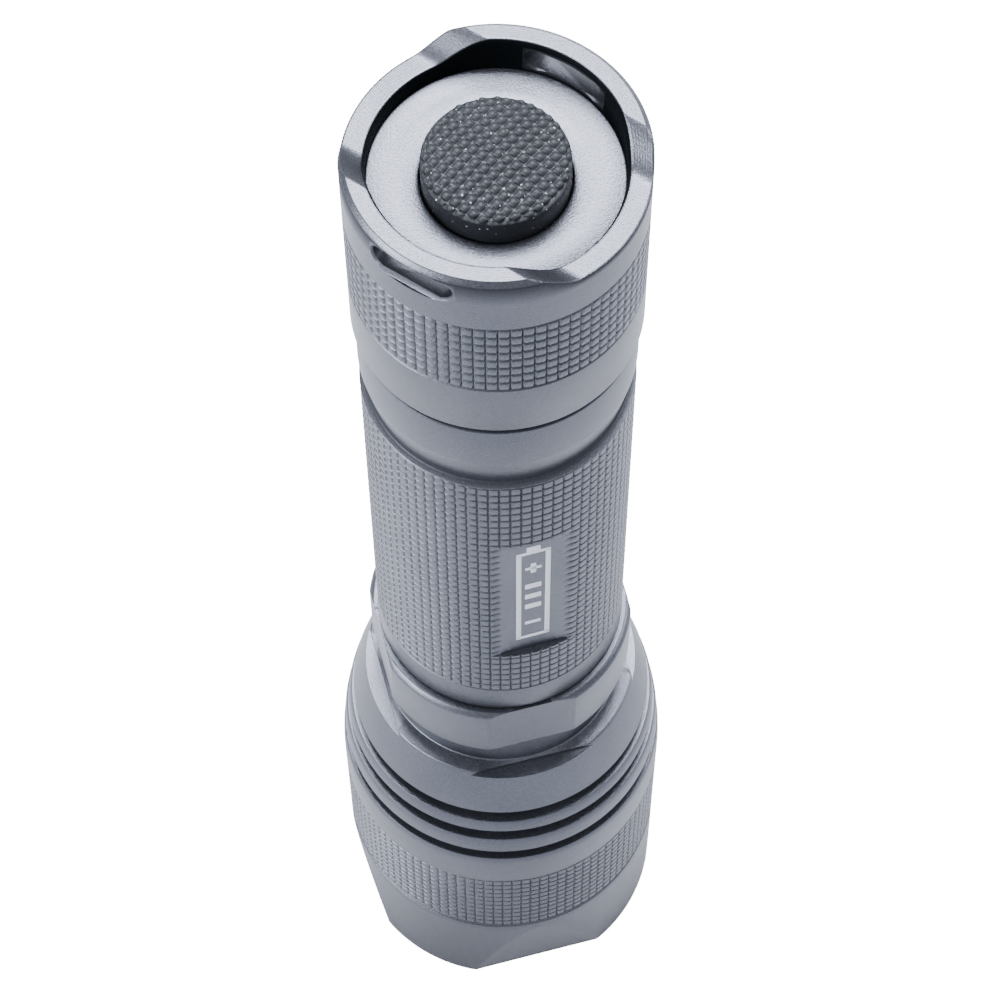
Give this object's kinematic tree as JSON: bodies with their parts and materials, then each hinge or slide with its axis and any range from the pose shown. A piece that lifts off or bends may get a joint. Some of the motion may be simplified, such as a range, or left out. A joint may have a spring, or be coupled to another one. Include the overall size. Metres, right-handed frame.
{
  "type": "tactical flashlight",
  "caption": "Metal hand torch standing on its bezel: screwed head with optics, knurled barrel with a power cell, and a crowned tail cap with a rubber-booted push switch.",
  "frame": {"origin": "centre of the bezel's rest face, on the turning axis", "axes": "+Z along the turning axis, from the bezel to the tail switch; -Y towards the side seen in the main view"},
  "size_m": [0.0392, 0.0392, 0.1658],
  "materials": {
    "anodised_aluminium": "bead-blasted, cool grey anodised, satin",
    "black_rubber": "matt moulded rubber with a little dust",
    "lens_glass": "clear, anti-reflection coated",
    "dome_silicone": "clear silicone",
    "reflector_coating": "vacuum-metallised, lightly textured",
    "brass": "turned",
    "spring_metal": "gold-plated spring wire",
    "nickel_steel": "nickel-plated steel",
    "electrode_roll": "wound foil and separator",
    "cell_wrap": "shrunk film",
    "circuit_board": "solder-masked glass fibre",
    "white_plastic": "moulded",
    "black_plastic": "moulded",
    "red_plastic": "moulded",
    "red_insulation": "silicone wire insulation",
    "phosphor": "phosphor layer on ceramic",
    "ceramic": "multilayer ceramic"
  },
  "bodies": {
    "bezel": {"bezel_ring": "anodised_aluminium", "lens_gasket": "black_rubber", "lens": "lens_glass"},
    "reflector": {"reflector": "reflector_coating"},
    "head": {"head_body": "anodised_aluminium", "led_pill": "brass", "led_board": "white_plastic", "led_emitter": "phosphor", "led_dome": "dome_silicone", "centring_gasket": "white_plastic", "lead_positive": "red_insulation", "lead_negative": "black_plastic", "driver_board": "circuit_board", "driver_inductor": "black_plastic", "driver_chip": "black_plastic", "driver_capacitor": "ceramic", "driver_ring": "brass", "driver_spring": "spring_metal"},
    "battery": {"cell_can": "nickel_steel", "cell_core": "electrode_roll", "cell_cap": "nickel_steel", "cell_button": "nickel_steel", "cell_wrap": "cell_wrap", "adapter_sleeve": "white_plastic"},
    "barrel": {"barrel": "anodised_aluminium", "head_oring": "black_rubber", "tail_oring": "black_rubber"},
    "switch": {"switch_boot": "black_rubber", "boot_washer": "white_plastic", "switch_housing": "black_plastic", "switch_board": "circuit_board", "switch_ring": "brass", "tail_spring": "spring_metal"},
    "button": {"switch_plunger": "red_plastic"},
    "tail_cap": {"tail_cap": "anodised_aluminium"}
  },
  "joints": [
    {"name": "head_lift", "type": "slide", "parent": "bezel", "child": "reflector", "axis": [0, 0, 1], "range_m": [0, 0.00875]},
    {"name": "head_turn", "type": "hinge", "parent": "reflector", "child": "head", "pos_m": [0, 0, 0], "axis": [0, 0, 1], "range_deg": [0, 2520]},
    {"name": "barrel_lift", "type": "slide", "parent": "head", "child": "battery", "axis": [0, 0, 1], "range_m": [0, 0.01]},
    {"name": "barrel_turn", "type": "hinge", "parent": "battery", "child": "barrel", "pos_m": [0, 0, 0], "axis": [0, 0, 1], "range_deg": [0, 2880]},
    {"name": "tail_cap_lift", "type": "slide", "parent": "barrel", "child": "switch", "axis": [0, 0, 1], "range_m": [0, 0.005]},
    {"name": "tail_cap_turn", "type": "hinge", "parent": "switch", "child": "tail_cap", "pos_m": [0, 0, 0], "axis": [0, 0, 1], "range_deg": [0, 1440]},
    {"name": "button_press", "type": "slide", "parent": "switch", "child": "button", "axis": [0, 0, -1], "range_m": [0, 0.0012], "stiffness_N_per_m": 150, "springref_m": -0.001, "deforming": ["switch_boot"]}
  ],
  "couplings": [
    {"joint": "head_lift", "follows": "head_turn", "m_per_rad": 0.00019894},
    {"joint": "barrel_lift", "follows": "barrel_turn", "m_per_rad": 0.00019894},
    {"joint": "tail_cap_lift", "follows": "tail_cap_turn", "m_per_rad": 0.00019894}
  ]
}
